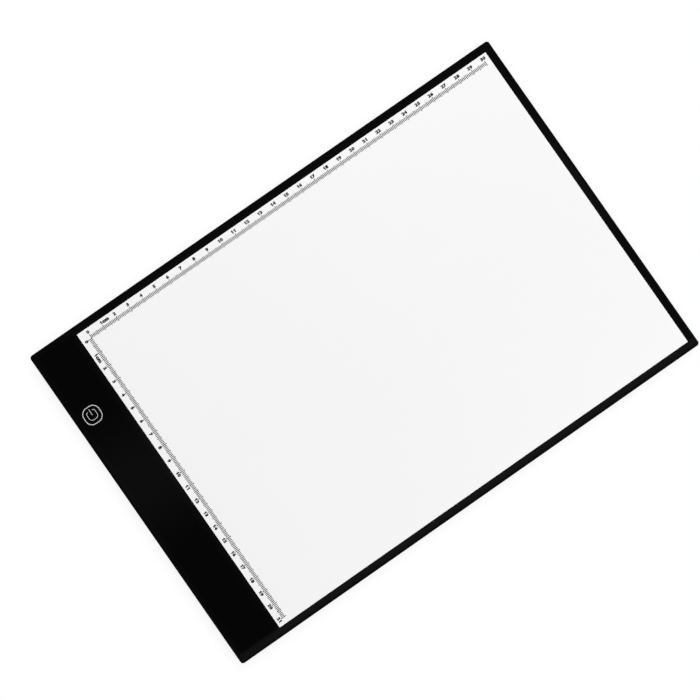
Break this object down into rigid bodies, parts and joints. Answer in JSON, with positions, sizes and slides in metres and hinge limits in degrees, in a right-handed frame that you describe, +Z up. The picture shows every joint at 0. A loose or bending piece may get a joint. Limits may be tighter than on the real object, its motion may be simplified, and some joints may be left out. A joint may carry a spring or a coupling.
{
  "type": "tracing light pad",
  "caption": "Thin flat light pad for tracing: milky drawing panel with a black printed border, a wide band with a printed power key, and a shallow moulded tray on rubber feet.",
  "frame": {"origin": "on the supporting surface under the middle of the pad, level with the undersides of the feet", "axes": "+X along the long side, away from the wide band; +Y towards the long edge that carries the 30 cm ruler; +Z up out of the drawing panel"},
  "size_m": [0.348, 0.232, 0.006],
  "materials": {
    "black_abs": "black moulded plastic with a fine even texture",
    "opal_panel": "milky white acrylic with a soft satin face",
    "black_ink": "black screen print, glossy",
    "ruler_ink": "dark grey screen-printed ruler lines and numerals",
    "key_ink": "light grey screen-printed power key",
    "white_film": "white polyester film",
    "clear_guide": "polished acrylic with a fine printed dot pattern",
    "clear_tape": "double-sided tape",
    "black_tape": "black light-blocking tape",
    "white_board": "white solder mask",
    "green_board": "green solder mask with tinned pads",
    "led_housing": "white housing with a yellow phosphor window",
    "chip_body": "black moulded epoxy with tinned legs",
    "ceramic_chip": "tan ceramic with tinned ends",
    "bright_steel": "nickel-plated steel",
    "grey_foam": "conductive foam",
    "red_wire": "red wire insulation",
    "black_wire": "black wire insulation",
    "foot_rubber": "matt black rubber"
  },
  "bodies": {
    "root": {"back_cover": "black_abs", "base_resistor": "chip_body", "board_screw_1": "bright_steel", "board_screw_2": "bright_steel", "border_print": "black_ink", "chip_resistor": "chip_body", "control_board": "green_board", "diffuser_sheet": "white_film", "filter_capacitor": "ceramic_chip", "foot_1": "foot_rubber", "foot_2": "foot_rubber", "foot_3": "foot_rubber", "foot_4": "foot_rubber", "front_panel": "opal_panel", "lead_black": "black_wire", "lead_red": "red_wire", "led_01": "led_housing", "led_02": "led_housing", "led_03": "led_housing", "led_04": "led_housing", "led_05": "led_housing", "led_06": "led_housing", "led_07": "led_housing", "led_08": "led_housing", "led_09": "led_housing", "led_10": "led_housing", "led_11": "led_housing", "led_12": "led_housing", "led_13": "led_housing", "led_14": "led_housing", "led_15": "led_housing", "led_16": "led_housing", "led_17": "led_housing", "led_18": "led_housing", "led_19": "led_housing", "led_20": "led_housing", "led_21": "led_housing", "led_22": "led_housing", "led_23": "led_housing", "led_24": "led_housing", "led_board": "white_board", "led_cover_tape": "black_tape", "led_tape_lower": "clear_tape", "led_tape_upper": "clear_tape", "led_transistor": "chip_body", "light_guide_plate": "clear_guide", "panel_tape": "clear_tape", "reflector_sheet": "white_film", "touch_chip": "chip_body", "touch_foam": "grey_foam", "usb_socket": "bright_steel", "usb_tongue": "chip_body"}
  },
  "joints": []
}
